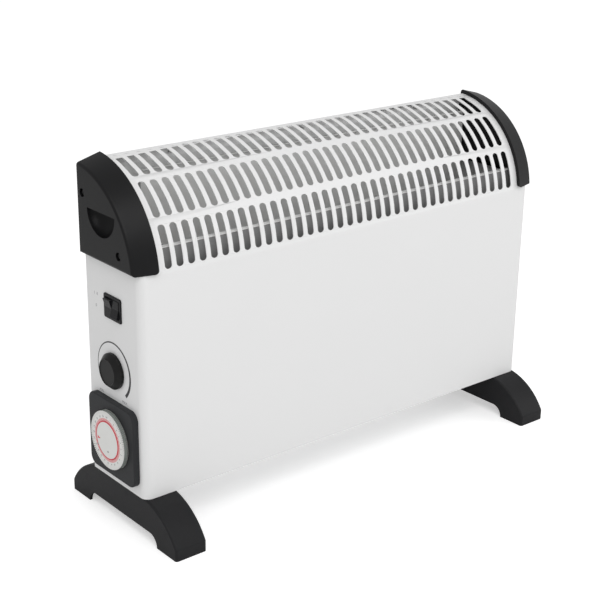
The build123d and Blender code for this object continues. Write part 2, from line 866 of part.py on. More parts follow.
with BuildPart() as thermal_cutout:
    with Locations((cutout_x, cutout_y, cutout_z + sheet)):
        Cylinder(
            cutout_radius, cutout_height / 2, align=(Align.CENTER, Align.CENTER, Align.MIN)
        )
        Cylinder(
            0.75 * cutout_radius, cutout_height,
            align=(Align.CENTER, Align.CENTER, Align.MIN),
        )
    with Locations((cutout_x, cutout_y, cutout_z + sheet + cutout_height)):
        Box(
            3 * cutout_radius, cutout_radius / 2, sheet,
            align=(Align.CENTER, Align.CENTER, Align.MIN),
        )
finish(thermal_cutout.part, "thermal_cutout")

# Twin rocker switch: body with bezel, well and one pivot rod for both rockers
well_width = bezel_width - 2 * bezel_rim
well_height = bezel_height - 2 * bezel_rim
pivot_x = rocker_pivot_depth - end_x
switch_back = switch_depth - end_x
with BuildPart() as switch_body:
    with BuildSketch(outer_wall):
        with Locations(switch_at):
            RectangleRounded(bezel_width, bezel_height, bezel_corner)
    extrude(amount=-bezel_proud)
    outer_rim = switch_body.faces().sort_by(Axis.X)[0].edges()
    fillet(outer_rim, bezel_proud / 2)
    with BuildSketch(outer_wall):
        with Locations(switch_at):
            Rectangle(switch_body_width, switch_body_height)
    extrude(amount=switch_depth)
    with BuildSketch(outer_wall.offset(-bezel_proud)):
        with Locations(switch_at):
            Rectangle(well_width, well_height)
    extrude(amount=bezel_proud + switch_well, mode=Mode.SUBTRACT)
    with Locations((pivot_x, switch_at[0], switch_at[1])):
        Cylinder(pivot_radius, well_width, rotation=(90, 0, 0))
finish(switch_body.part, "switch_body")

with BuildPart() as switch_tabs:
    for y in (-tab_spread / 2, tab_spread / 2):
        for z in (-tab_rise / 2, tab_rise / 2):
            with Locations((switch_back, switch_at[0] + y, switch_at[1] + z)):
                Box(*tab_size, align=(Align.MIN, Align.CENTER, Align.CENTER))
finish(switch_tabs.part, "switch_tabs")


def rocker(y, tilt):
    # hollow-faced rocker; its ends clear the well over the whole swing
    turn = radians(rocker_angle)
    face = rocker_proud + bezel_proud + rocker_pivot_depth
    end = well_height / 2 - rocker_gap
    tip_z = end * cos(turn) - face * sin(turn)
    tip_x = (face + tip_z * sin(turn)) / cos(turn)
    heel_z = (end - rocker_back * sin(turn)) / cos(turn)
    outline = [
        (face / cos(turn), 0), (tip_x, tip_z), (0, end / cos(turn)), (-rocker_back, heel_z),
        (-rocker_back, -heel_z), (0, -end / cos(turn)), (tip_x, -tip_z), (face / cos(turn), 0),
    ]
    place = Plane(origin=(pivot_x, y, switch_at[1]), x_dir=(-1, 0, 0), z_dir=(0, 1, 0))
    with BuildPart() as piece:
        with BuildSketch(place):
            with BuildLine():
                Polyline(*[Vector(*point).rotate(Axis.Z, tilt) for point in outline])
            make_face()
            Circle(pivot_radius + pivot_gap, mode=Mode.SUBTRACT)
        extrude(amount=rocker_width / 2, both=True)
    return piece.part


rocker_width = (well_width - 3 * rocker_gap) / 2
rocker_y = (rocker_width + rocker_gap) / 2
finish(rocker(switch_y - rocker_y, rocker_angle), "low_rocker")
finish(rocker(switch_y + rocker_y, -rocker_angle), "high_rocker")

# Thermostat: body behind the wall, bushing through it, nut, shaft and knob
knob_axis = Plane(origin=(-end_x, *knob_at), x_dir=(0, -1, 0), z_dir=(-1, 0, 0))
shaft_tip = knob_lift + knob_hollow_depth + knob_seat
with BuildPart() as thermostat_body:
    with BuildSketch(knob_axis.offset(-sheet)):
        Rectangle(thermostat_width, thermostat_tall)
    extrude(amount=-thermostat_depth)
    with BuildSketch(knob_axis.offset(-sheet)):
        Circle(bushing_radius)
    extrude(amount=sheet + bushing_length)
    with BuildSketch(knob_axis.offset(bushing_length)):
        Circle(shaft_radius + shaft_gap)
    extrude(amount=-bushing_length - sheet - shaft_inside - fit, mode=Mode.SUBTRACT)
finish(thermostat_body.part, "thermostat_body")

with BuildPart() as thermostat_shaft:
    with BuildSketch(knob_axis.offset(-sheet - shaft_inside)):
        Circle(shaft_radius)
    extrude(amount=sheet + shaft_inside + shaft_tip)
finish(thermostat_shaft.part, "thermostat_shaft")

with BuildPart() as thermostat_nut:
    with BuildSketch(knob_axis):
        RegularPolygon(thermostat_nut_flats / 2, 6, major_radius=False)
        Circle(bushing_radius, mode=Mode.SUBTRACT)
    extrude(amount=thermostat_nut_height)
finish(thermostat_nut.part, "thermostat_nut")

knob_top = knob_lift + knob_depth
with BuildPart() as thermostat_knob:
    with BuildSketch(Plane(origin=(-end_x, *knob_at), x_dir=(0, 0, 1), z_dir=(0, 1, 0))):
        with BuildLine():
            # up from the axis, out along the height of the knob
            Polyline(
                (0, -knob_top + knob_dish), (knob_top_radius - 2 * knob_dish, -knob_top + knob_dish),
                (knob_top_radius - knob_dish, -knob_top), (knob_top_radius, -knob_top),
                (knob_radius, -knob_lift - knob_skirt), (knob_radius, -knob_lift),
                (knob_hollow, -knob_lift), (knob_hollow, -knob_lift - knob_hollow_depth),
                (shaft_radius, -knob_lift - knob_hollow_depth), (shaft_radius, -shaft_tip),
                (0, -shaft_tip), (0, -knob_top + knob_dish),
            )
        make_face()
    revolve(axis=Axis((-end_x, *knob_at), (1, 0, 0)))
    with BuildSketch(knob_axis.offset(knob_top)):
        with Locations((0, knob_top_radius)):
            Rectangle(knob_groove_width, knob_top_radius)
    extrude(amount=-knob_dish, mode=Mode.SUBTRACT)
finish(thermostat_knob.part, "thermostat_knob")

# Day timer: hollow case outside, housing behind, dial turning round a fixed hub
timer_axis = Plane(origin=(-end_x, *timer_at), x_dir=(0, -1, 0), z_dir=(-1, 0, 0))
dial_face = timer_proud + dial_proud
case_room = timer_proud - timer_face
with BuildPart() as timer_case:
    with BuildSketch(timer_axis):
        RectangleRounded(timer_size, timer_size, timer_corner)
    extrude(amount=timer_proud)
    fillet(timer_case.faces().sort_by(Axis.X)[0].edges(), timer_edge_round)
    with BuildSketch(timer_axis):
        room = timer_size - 2 * timer_face
        RectangleRounded(room, room, timer_corner - timer_face)
        with GridLocations(timer_screw_spread, timer_screw_spread, 2, 2):
            Circle(timer_post_radius, mode=Mode.SUBTRACT)
    extrude(amount=case_room, mode=Mode.SUBTRACT)
    with BuildSketch(timer_axis):
        Circle(tappet_tip + well_gap)
    extrude(amount=timer_proud, mode=Mode.SUBTRACT)
    with BuildSketch(timer_axis):
        with GridLocations(timer_screw_spread, timer_screw_spread, 2, 2):
            Circle(timer_screw_radius + screw_gap)
    extrude(amount=timer_screw_length - sheet + fit, mode=Mode.SUBTRACT)
finish(timer_case.part, "timer_case")

with BuildPart() as timer_housing:
    with BuildSketch(timer_axis.offset(case_room)):
        RectangleRounded(housing_size, housing_size, housing_corner)
    extrude(amount=-housing_depth)
finish(timer_housing.part, "timer_housing")
housing_back = housing_depth - case_room - end_x

with BuildPart() as timer_hub:
    with BuildSketch(timer_axis.offset(case_room)):
        Circle(dial_bore - hub_gap)
    extrude(amount=dial_face + hub_proud - case_room)
    fillet(timer_hub.edges().sort_by(Axis.X)[0], hub_proud / 2)
finish(timer_hub.part, "timer_hub")

dial_back = case_room + fit
with BuildPart() as timer_dial:
    with BuildSketch(timer_axis.offset(dial_back)):
        Circle(dial_outer)
        Circle(dial_bore, mode=Mode.SUBTRACT)
    extrude(amount=dial_face - dial_back)
    with BuildSketch(timer_axis.offset(dial_back)):
        Circle(tappet_tip)
        Circle(dial_bore, mode=Mode.SUBTRACT)
    extrude(amount=dial_flange)
finish(timer_dial.part, "timer_dial")


def tappet(number, gap):
    # one setting pin on the rim of the dial
    angle = 360 * number / tappet_count
    with BuildPart() as pin:
        with BuildSketch(timer_axis.offset(dial_face)):
            with Locations(Location((0, 0, 0), (0, 0, angle))):
                with Locations((dial_outer + gap, 0)):
                    Rectangle(
                        tappet_tip - dial_outer - gap, tappet_width,
                        align=(Align.MIN, Align.CENTER),
                    )
        extrude(amount=-tappet_length)
    return pin.part


spacing = tappet_count // loose_tappets
loose = [i * spacing for i in range(loose_tappets)]
with BuildPart() as timer_tappets:
    for number in range(tappet_count):
        if number not in loose:
            add(tappet(number, 0))
finish(timer_tappets.part, "timer_tappets")
for i, number in enumerate(loose):
    finish(tappet(number, tappet_gap), f"timer_tappet_{i + 1}")

screw_set(
    pan_screw(timer_head_radius, timer_head_height, timer_screw_radius, timer_screw_length),
    [
        Plane(origin=(-inner_x, timer_at[0] + y, timer_at[1] + z), z_dir=(-1, 0, 0))
        for y in (-timer_screw_spread / 2, timer_screw_spread / 2)
        for z in (-timer_screw_spread / 2, timer_screw_spread / 2)
    ],
    "timer_screws",
)

# Terminal block on the base plate
pole_y = [block_y + i * pole_pitch for i in (-1, 0, 1)]
pole_z = base_top + wire_lift
block_top = base_top + block_size[2]
with BuildPart() as terminal_block:
    with Locations((block_x, block_y, base_top)):
        Box(*block_size, align=(Align.CENTER, Align.CENTER, Align.MIN))
    for y in pole_y:
        for side in (-1, 1):
            with Locations((block_x + side * block_size[0] / 2, y, pole_z)):
                Cylinder(
                    wire_radius + entry_gap, 2 * wire_entry + 2 * entry_gap,
                    rotation=(0, 90, 0), mode=Mode.SUBTRACT,
                )
            with Locations((block_x + side * wire_entry, y, block_top)):
                Cylinder(1.6 * wire_radius, 2 * wire_radius, mode=Mode.SUBTRACT)
finish(terminal_block.part, "terminal_block")

with BuildPart() as terminal_screws:
    for y in pole_y:
        for side in (-1, 1):
            with Locations((block_x + side * wire_entry, y, block_top - wire_radius)):
                Cylinder(
                    1.5 * wire_radius, 0.8 * wire_radius,
                    align=(Align.CENTER, Align.CENTER, Align.MIN),
                )
finish(terminal_screws.part, "terminal_screws")

screw_set(
    pan_screw(rear_head_radius, rear_head_height, rear_screw_radius, rear_screw_length / 2),
    [Plane(origin=(earth_x, earth_y, base_top), z_dir=(0, 0, -1))],
    "earth_screw",
)

# Wires, each one whole from end to end
block_right = block_x + block_size[0] / 2 - wire_entry
block_left = block_x - block_size[0] / 2 + wire_entry
tab_end = switch_back + tab_size[0]
tab_high = switch_at[1] + tab_rise / 2
tab_low = switch_at[1] - tab_rise / 2
thermostat_back = sheet + thermostat_depth - end_x
grommet_z = grommet_at[1]
tail_x = -turn_x - element_tail
tail_y = run_y[-1]
hot_x = tail_x - wire_bend - 1
low_z = layers[0][1]
high_z = layers[1][1]
cutout_tab_z = cutout_z + 1.5 * sheet + cutout_height
cutout_left = cutout_x - 1.5 * cutout_radius
cutout_right = cutout_x + 1.5 * cutout_radius
earth_z = base_top + rear_head_height / 2 + wire_radius / 4
wires = {
    "supply_wire": (
        (block_right, pole_y[0], pole_z), (riser_x, pole_y[0], pole_z),
        (riser_x, pole_y[0], timer_at[1] - 8), (housing_back, pole_y[0], timer_at[1] - 8),
    ),
    "timer_wire": (
        (housing_back, -8, timer_at[1] + 12), (riser_x - 7.5, -8, timer_at[1] + 12),
        (riser_x - 7.5, -8, knob_at[1] - 6), (thermostat_back, -8, knob_at[1] - 6),
    ),
    "thermostat_wire": (
        (thermostat_back, 6, knob_at[1] + 6), (riser_x - 10.5, 6, knob_at[1] + 6),
        (riser_x - 10.5, 6, tab_low), (tab_end, 6, tab_low),
    ),
    "low_wire": (
        (tab_end, -6, tab_high), (riser_x - 4.5, -6, tab_high),
        (riser_x - 4.5, -6, grommet_z), (hot_x, -6, grommet_z), (hot_x, -tail_y, low_z),
        (tail_x, -tail_y, low_z),
    ),
    "high_wire": (
        (tab_end, 6, tab_high), (riser_x - 3.5, 6, tab_high), (riser_x - 3.5, 6, grommet_z),
        (hot_x, 6, grommet_z), (hot_x, -tail_y, high_z), (tail_x, -tail_y, high_z),
    ),
    "neutral_wire": (
        (block_right, pole_y[1], pole_z), (riser_x, pole_y[1], pole_z),
        (riser_x, pole_y[1], grommet_z), (hot_x + 12, pole_y[1], grommet_z),
        (cutout_left - 28, 5, cutout_tab_z + 10), (cutout_right + 12, 5, cutout_tab_z + 10),
        (cutout_right + 12, cutout_y, cutout_tab_z), (cutout_right, cutout_y, cutout_tab_z),
    ),
    "cutout_wire": (
        (hot_x, tail_y + wire_radius, element_z), (hot_x, tail_y + 11, element_z),
        (hot_x, tail_y + 11, cutout_tab_z), (hot_x + 19, tail_y + 11, cutout_tab_z),
        (cutout_left - 18, cutout_y, cutout_tab_z), (cutout_left, cutout_y, cutout_tab_z),
    ),
    "earth_wire": (
        (block_left, pole_y[2], pole_z), (earth_x - 17, pole_y[2], pole_z),
        (earth_x - 17, earth_y + 12, pole_z), (earth_x - 8, earth_y, earth_z),
        (earth_x - rear_head_radius, earth_y, earth_z),
    ),
}
for name, points in wires.items():
    finish(tube(points, wire_radius, wire_bend), name)
bridge = (
    (tail_x, tail_y, low_z), (hot_x, tail_y, low_z), (hot_x, tail_y, high_z),
    (tail_x, tail_y, high_z),
)
finish(tube(bridge, wire_radius, 0.9 * wire_bend), "bridge_wire")
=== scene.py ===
import math

import bmesh
import bpy
from mathutils import Matrix, Vector


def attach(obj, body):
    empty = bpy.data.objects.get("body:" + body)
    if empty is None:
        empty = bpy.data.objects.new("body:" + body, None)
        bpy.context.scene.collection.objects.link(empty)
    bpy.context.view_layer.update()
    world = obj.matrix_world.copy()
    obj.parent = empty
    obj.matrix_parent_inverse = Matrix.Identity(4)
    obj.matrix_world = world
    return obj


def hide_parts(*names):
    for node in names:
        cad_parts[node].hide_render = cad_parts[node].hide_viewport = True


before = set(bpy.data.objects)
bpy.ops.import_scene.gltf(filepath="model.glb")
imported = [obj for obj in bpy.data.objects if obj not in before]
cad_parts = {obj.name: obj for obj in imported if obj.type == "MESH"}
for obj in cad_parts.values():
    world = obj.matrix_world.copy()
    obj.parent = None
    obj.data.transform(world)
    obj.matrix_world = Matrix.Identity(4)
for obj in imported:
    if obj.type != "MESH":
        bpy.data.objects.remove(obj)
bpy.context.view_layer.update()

bpy.context.scene.view_settings.view_transform = "Standard"


# Shader maths

class Value:
    # one output of a node, so that sums can be written as Python sums
    def __init__(self, graph, output):
        self.graph = graph
        self.output = output

    def maths(self, operation, *others):
        parts = {i: part for i, part in enumerate(others)}
        return self.graph.node("ShaderNodeMath", {"operation": operation}, parts)

    def __add__(self, other):
        return self.maths("ADD", self, other)

    __radd__ = __add__

    def __sub__(self, other):
        return self.maths("SUBTRACT", self, other)

    def __rsub__(self, other):
        return self.maths("SUBTRACT", other, self)

    def __mul__(self, other):
        return self.maths("MULTIPLY", self, other)

    __rmul__ = __mul__

    def above(self, edge):
        return self.maths("GREATER_THAN", self, edge)

    def below(self, edge):
        return self.maths("LESS_THAN", self, edge)

    def clipped(self):
        return self.graph.node(
            "ShaderNodeClamp", {}, {"Value": self, "Min": 0.0, "Max": 1.0}
        )


class Graph:
    # the nodes of one material
    def __init__(self, name):
        self.material = bpy.data.materials.new(name)
        self.material.use_nodes = True
        self.tree = self.material.node_tree
        self.shader = self.tree.nodes["Principled BSDF"]

    def node(self, kind, settings, sockets, pick=0):
        made = self.tree.nodes.new(kind)
        for key, value in settings.items():
            if key == "stops":
                ramp = made.color_ramp
                while len(ramp.elements) < len(value):
                    ramp.elements.new(1.0)
                for element, (place, grey) in zip(ramp.elements, value):
                    element.position = place
                    element.color = (grey, grey, grey, 1.0)
            else:
                setattr(made, key, value)
        for key, value in sockets.items():
            if isinstance(value, Value):
                self.tree.links.new(value.output, made.inputs[key])
            else:
                made.inputs[key].default_value = value
        return Value(self, made.outputs[pick])

    def place(self):
        return self.node("ShaderNodeTexCoord", {}, {}, "Object")

    def noise(self, scale, detail=2.0, vector=None):
        where = vector or self.place()
        return self.node(
            "ShaderNodeTexNoise", {}, {"Vector": where, "Scale": scale, "Detail": detail}
        )

    def axes(self):
        split = self.tree.nodes.new("ShaderNodeSeparateXYZ")
        self.tree.links.new(self.place().output, split.inputs[0])
        return [Value(self, out) for out in split.outputs]

    def ramp(self, value, stops):
        return self.node("ShaderNodeValToRGB", {"stops": stops}, {"Fac": value})

    def mix(self, share, first, second):
        settings = {"data_type": "RGBA"}
        return self.node("ShaderNodeMix", settings, {0: share, 6: first, 7: second}, 2)

    def bump(self, height, distance, strength=1.0):
        sockets = {"Height": height, "Distance": distance, "Strength": strength}
        return self.node("ShaderNodeBump", {}, sockets, "Normal")

    def fill(self, **sockets):
        for key, value in sockets.items():
            name = key.replace("_", " ")
            if isinstance(value, Value):
                self.tree.links.new(value.output, self.shader.inputs[name])
            else:
                self.shader.inputs[name].default_value = value
        return self.material


def rgba(colour):
    return (colour[0], colour[1], colour[2], 1.0)


def shade(colour, factor):
    return rgba([min(1.0, part * factor) for part in colour])


def give(material, *names):
    for name in names:
        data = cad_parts[name].data
        data.materials.clear()
        data.materials.append(material)


def coatedSheet(name, look):
    # sprayed powder coat: faint orange peel, uneven gloss, dust low down
    g = Graph(name)
    cloud = g.noise(look["cloudScale"], 3.0)
    peel = g.noise(look["peelScale"], 1.0)
    height = g.axes()[2]
    dust = (1 - height * (1 / look["dustHeight"])).clipped() * g.noise(60.0, 4.0)
    clean = g.mix(cloud, shade(look["colour"], look["darker"]), rgba(look["colour"]))
    colour = g.mix(dust * look["dust"], clean, rgba(look["dustColour"]))
    rough = look["roughness"] + (cloud - 0.5) * look["glossSpread"] + dust * 0.1
    return g.fill(
        Base_Color=colour, Roughness=rough, Normal=g.bump(peel, look["peelHeight"]),
        Specular_IOR_Level=look["specular"],
    )


def moulding(name, look):
    # moulded plastic: spark grain, slightly blotchy, a little paler where it is handled
    g = Graph(name)
    grain = g.noise(look["grainScale"], 2.0)
    blotch = g.noise(look["blotchScale"], 3.0)
    worn = g.ramp(g.noise(look["blotchScale"] * 4, 5.0), [(0.55, 0.0), (0.75, 1.0)])
    base = g.mix(blotch, rgba(look["colour"]), shade(look["colour"], look["paler"]))
    colour = g.mix(worn * look["wear"], base, shade(look["colour"], 2.2))
    rough = look["roughness"] + (grain - 0.5) * 0.12 + worn * 0.05
    return g.fill(
        Base_Color=colour, Roughness=rough, Normal=g.bump(grain, look["grainHeight"]),
        Specular_IOR_Level=look["specular"],
    )


def sheetMetal(name, look):
    # bare metal: long rolling marks or a spangle, with dull patches, and where asked a
    # painted highlight along the top edge
    g = Graph(name)
    scale = {"Vector": g.place(), "Scale": look["stretch"]}
    along = g.node("ShaderNodeMapping", {}, scale)
    lines = g.noise(look["lineScale"], 4.0, along)
    patch = g.noise(look["patchScale"], 3.0)
    dull = shade(look["colour"], 0.62)
    colour = g.mix((lines * 0.5 + patch * 0.5), dull, rgba(look["colour"]))
    # painted highlight: everything above a given height is drawn pale, standing in for light
    # caught on the top edge
    if "hemZ" in look:
        colour = g.mix(g.axes()[2].above(look["hemZ"]), colour, rgba(look["hem"]))
    rough = look["roughness"] + (patch - 0.5) * 0.3 + (lines - 0.5) * 0.15
    return g.fill(
        Base_Color=colour, Roughness=rough.clipped(), Metallic=look["metallic"],
        Normal=g.bump(lines, look["lineHeight"]),
    )


def wireSleeve(name, look):
    # drawn or braided wire covering
    g = Graph(name)
    weave = g.node(
        "ShaderNodeTexWave", {"wave_type": "BANDS", "bands_direction": "DIAGONAL"},
        {"Vector": g.place(), "Scale": look["weaveScale"], "Distortion": 1.5},
    )
    patch = g.noise(90.0, 3.0)
    base = g.mix(patch, rgba(look["colour"]), shade(look["colour"], 0.7))
    colour = g.mix(weave * look["weave"], base, shade(look["colour"], 0.5))
    return g.fill(
        Base_Color=colour, Roughness=look["roughness"] + patch * 0.15,
        Normal=g.bump(weave, look["weaveHeight"]),
    )


# Casing and back panel

casingPaint = {
    "colour": (0.80, 0.80, 0.80), "darker": 0.985, "cloudScale": 9.0, "peelScale": 700.0,
    "peelHeight": 0.00003, "roughness": 0.36, "glossSpread": 0.06, "specular": 0.5,
    "dust": 0.05, "dustColour": (0.55, 0.54, 0.52), "dustHeight": 0.12,
}
backPaint = dict(casingPaint, colour=(0.74, 0.745, 0.74), roughness=0.42, dust=0.12)
give(coatedSheet("CasingPaint", casingPaint), "front_shell")
give(coatedSheet("BackPaint", backPaint), "rear_panel")
print("casing painted")

# End caps, feet and the bush in the back

blackMoulding = {
    "colour": (0.005, 0.005, 0.0055), "paler": 1.5, "grainScale": 1500.0,
    "grainHeight": 0.00006, "blotchScale": 14.0, "wear": 0.12, "roughness": 0.38,
    "specular": 0.2,
}
footMoulding = dict(blackMoulding, colour=(0.010, 0.010, 0.011), roughness=0.48)
bushMoulding = dict(blackMoulding, roughness=0.35, grainScale=900.0)
give(moulding("CapMoulding", blackMoulding), "left_end_cap", "right_end_cap")
give(moulding("FootMoulding", footMoulding), "left_foot", "right_foot")
give(moulding("BushMoulding", bushMoulding), "cord_inlet_bush", "timer_housing")
give(moulding("GrommetRubber", dict(blackMoulding, roughness=0.7)), "partition_grommet")
print("mouldings grained")

# Bare metal inside and the screws

zincSheet = {
    "colour": (0.60, 0.61, 0.62), "stretch": (1.0, 1.0, 1.0), "lineScale": 160.0,
    "patchScale": 30.0, "lineHeight": 0.00002, "roughness": 0.45, "metallic": 0.85,
}
# front heat shield: its colour is darkened to paint the shade it stands in behind the grille,
# with a painted highlight along its top edge
shadedShieldSheet = dict(
    zincSheet, colour=(0.30, 0.30, 0.30), stretch=(1.0, 1.0, 14.0), lineScale=120.0,
    roughness=0.55, metallic=0.0, hemZ=0.3021, hem=(0.85, 0.85, 0.84),
)
screwMetal = dict(zincSheet, colour=(0.55, 0.55, 0.54), lineScale=900.0, roughness=0.32)
brassMetal = dict(screwMetal, colour=(0.62, 0.44, 0.16))
elementMetal = dict(screwMetal, colour=(0.24, 0.22, 0.2), roughness=0.5)
micaBoard = {
    "colour": (0.46, 0.36, 0.22), "paler": 1.35, "grainScale": 500.0, "grainHeight": 0.00008,
    "blotchScale": 60.0, "wear": 0.4, "roughness": 0.55, "specular": 0.5,
}
give(
    sheetMetal("ZincSheet", zincSheet), "base_plate", "control_partition", "element_rails",
    "element_brackets", "cutout_bracket",
)
give(sheetMetal("ShadedShieldSheet", shadedShieldSheet), "front_heat_shield")
give(
    sheetMetal("ScrewMetal", screwMetal), "rear_screws", "foot_screws", "foot_nuts",
    "timer_screws", "earth_screw", "thermostat_shaft", "thermostat_nut",
)
blackScrew = dict(screwMetal, colour=(0.05, 0.05, 0.05), roughness=0.4)
give(sheetMetal("BlackScrew", blackScrew), "end_cap_screws")
give(sheetMetal("BrassTerminal", brassMetal), "switch_tabs", "terminal_screws")
give(sheetMetal("ElementWire", elementMetal), "low_heat_element", "high_heat_element")
give(moulding("MicaBoard", micaBoard), "mica_cards")
give(
    moulding("CutoutCeramic", dict(micaBoard, colour=(0.6, 0.57, 0.5), wear=0.1)),
    "thermal_cutout",
)
print("metal and boards finished")

# Switch, thermostat and terminal block

switchGloss = {
    "colour": (0.008, 0.008, 0.009), "paler": 1.6, "grainScale": 1200.0,
    "grainHeight": 0.00001, "blotchScale": 25.0, "wear": 0.08, "roughness": 0.24,
    "specular": 0.18,
}
give(moulding("SwitchGloss", dict(switchGloss, roughness=0.3)), "switch_body")
give(moulding("RockerGloss", switchGloss), "low_rocker", "high_rocker")
knobLook = dict(switchGloss, colour=(0.007, 0.007, 0.007), roughness=0.34, grainScale=1500.0)
give(moulding("KnobMoulding", knobLook), "thermostat_knob")
bakelite = dict(switchGloss, colour=(0.06, 0.035, 0.02), roughness=0.4)
give(moulding("ThermostatMoulding", bakelite), "thermostat_body")
blockLook = dict(micaBoard, colour=(0.62, 0.61, 0.57), paler=1.1, wear=0.05)
give(moulding("BlockMoulding", blockLook), "terminal_block")
print("switch and thermostat finished")

# Wires

browns = {"colour": (0.12, 0.045, 0.015), "weaveScale": 300.0, "weave": 0.1,
          "weaveHeight": 0.00002, "roughness": 0.35}
blues = dict(browns, colour=(0.02, 0.08, 0.34))
greens = dict(browns, colour=(0.09, 0.32, 0.05))
braid = dict(browns, colour=(0.66, 0.63, 0.56), weave=0.7, weaveScale=500.0,
             weaveHeight=0.0001, roughness=0.75)
give(wireSleeve("BrownSleeve", browns), "supply_wire", "timer_wire", "thermostat_wire")
give(wireSleeve("BlueSleeve", blues), "neutral_wire")
give(wireSleeve("GreenSleeve", greens), "earth_wire")
give(wireSleeve("GlassBraid", braid), "low_wire", "high_wire", "bridge_wire", "cutout_wire")
print("wires sleeved")

# Day timer

timerLook = {
    "axisY": 0.0025, "axisZ": 0.098, "faceX": -0.281, "hubX": -0.2814,
    "ringInner": 0.0192, "red": (0.62, 0.03, 0.05),
    "pink": (0.84, 0.42, 0.42), "paper": (0.80, 0.80, 0.78), "pinkOuter": 0.0232,
    "quarters": 96, "numberRadius": 0.0252, "numberHeight": 0.0027,
    "printHeight": 0.00003, "hubEdge": 0.00045, "faceEdge": 0.00005,
}


def dialPrint(name, look, onHub):
    # white printed plastic: red ring on the hub, fine red quarter strokes round the dial
    g = Graph(name)
    x, y, z = g.axes()
    dy = y - look["axisY"]
    dz = z - look["axisZ"]
    radius = (dy * dy + dz * dz).maths("SQRT", dy * dy + dz * dz)
    grain = g.noise(900.0, 2.0)
    stain = g.noise(70.0, 3.0)
    paper = g.mix(stain * 0.5, rgba(look["paper"]), shade(look["paper"], 0.9))
    onFace = x.below(
        look["hubX"] + look["hubEdge"] if onHub else look["faceX"] + look["faceEdge"]
    )
    if onHub:
        ring = radius.above(look["ringInner"]) * onFace
        colour = g.mix(ring, paper, rgba(look["red"]))
    else:
        turn = dz.maths("ARCTAN2", dz, dy) * (look["quarters"] / (2 * math.pi))
        stroke = turn.maths("FRACT", turn).maths("PINGPONG", turn.maths("FRACT", turn), 0.5)
        inBand = radius.below(look["pinkOuter"]) * onFace
        washed = g.mix(inBand * 0.62, paper, rgba(look["pink"]))
        colour = g.mix(stroke.below(0.17) * inBand, washed, rgba(look["red"]))
    return g.fill(
        Base_Color=colour, Roughness=0.4 + grain * 0.08, Normal=g.bump(grain, 0.00002)
    )


give(dialPrint("HubPrint", timerLook, True), "timer_hub")
give(dialPrint("DialPrint", timerLook, False), "timer_dial")
caseLook = dict(blackMoulding, colour=(0.022, 0.023, 0.025), paler=1.2, roughness=0.48)
tappetLook = {"side": (0.30, 0.33, 0.31), "face": (0.80, 0.80, 0.78), "faceX": -0.2807}
give(moulding("TimerCase", caseLook), "timer_case")
tappets = ["timer_tappets"] + [f"timer_tappet_{i}" for i in (1, 2, 3, 4)]
g = Graph("TappetMoulding")
grain = g.noise(900.0, 2.0)
soiled = g.mix(g.noise(120.0, 3.0), rgba(tappetLook["side"]), shade(tappetLook["side"], 0.8))
onFace = g.axes()[0].below(tappetLook["faceX"])
tappetColour = g.mix(onFace, soiled, rgba(tappetLook["face"]))
g.fill(Base_Color=tappetColour, Roughness=0.42 + grain * 0.1, Normal=g.bump(grain, 0.00002))
give(g.material, *tappets)


# Printed and small pieces

def newPiece(name, bm, body, material):
    bmesh.ops.recalc_face_normals(bm, faces=bm.faces[:])
    mesh = bpy.data.meshes.new(name)
    bm.to_mesh(mesh)
    bm.free()
    piece = bpy.data.objects.new(name, mesh)
    bpy.context.scene.collection.objects.link(piece)
    mesh.materials.append(material)
    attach(piece, body)
    return piece


def addText(bm, words, height, thick, matrix):
    curve = bpy.data.curves.new("word", "FONT")
    curve.body = words
    curve.size = height
    curve.extrude = thick
    curve.resolution_u = 3
    curve.align_x = "CENTER"
    curve.align_y = "CENTER"
    holder = bpy.data.objects.new("word", curve)
    bpy.context.scene.collection.objects.link(holder)
    bpy.context.view_layer.update()
    flat = bpy.data.meshes.new_from_object(holder)
    flat.transform(matrix)
    bm.from_mesh(flat)
    bpy.data.objects.remove(holder)
    bpy.data.meshes.remove(flat)
    bpy.data.curves.remove(curve)


def endWall(x, y, z, turn=0.0):
    # stands a flat shape on the control end, upright and readable from outside
    across = Vector((0, -1, 0))
    up = Vector((0, 0, 1))
    out = Vector((-1, 0, 0))
    spun = Matrix.Rotation(turn, 4, "Z")
    stand = Matrix((across, up, out)).transposed().to_4x4()
    return Matrix.Translation((x, y, z)) @ stand @ spun


# flat colour for printed marks, also used as painted shade in the screw recesses
def inkMaterial(name, colour):
    g = Graph(name)
    fade = g.noise(400.0, 4.0)
    shades = g.mix(fade * 0.5, rgba(colour), shade(colour, 1.6))
    return g.fill(Base_Color=shades, Roughness=0.45 + fade * 0.1)


blackInkAndShade = inkMaterial("BlackInkAndShade", (0.02, 0.02, 0.022))
greyInkAndShade = inkMaterial("GreyInkAndShade", (0.22, 0.22, 0.23))
redInk = inkMaterial("RedInk", timerLook["red"])

bm = bmesh.new()
for hour in range(1, 25):
    angle = hour * 2 * math.pi / 24
    reach = timerLook["numberRadius"]
    y = timerLook["axisY"] - reach * math.sin(angle)
    z = timerLook["axisZ"] + reach * math.cos(angle)
    spot = endWall(timerLook["faceX"], y, z, -angle)
    addText(bm, str(hour), timerLook["numberHeight"], timerLook["printHeight"], spot)
newPiece("dial_numbers", bm, "timer_dial", blackInkAndShade)

hubMarks = {
    "arrowY": 0.0165, "arrowZ": -0.0021, "arrowSize": 0.0021, "stemShift": 0.0026,
    "dotRadius": 0.0011, "dots": ((0.0177, -0.0102), (-0.0011, -0.0123)),
}
bm = bmesh.new()
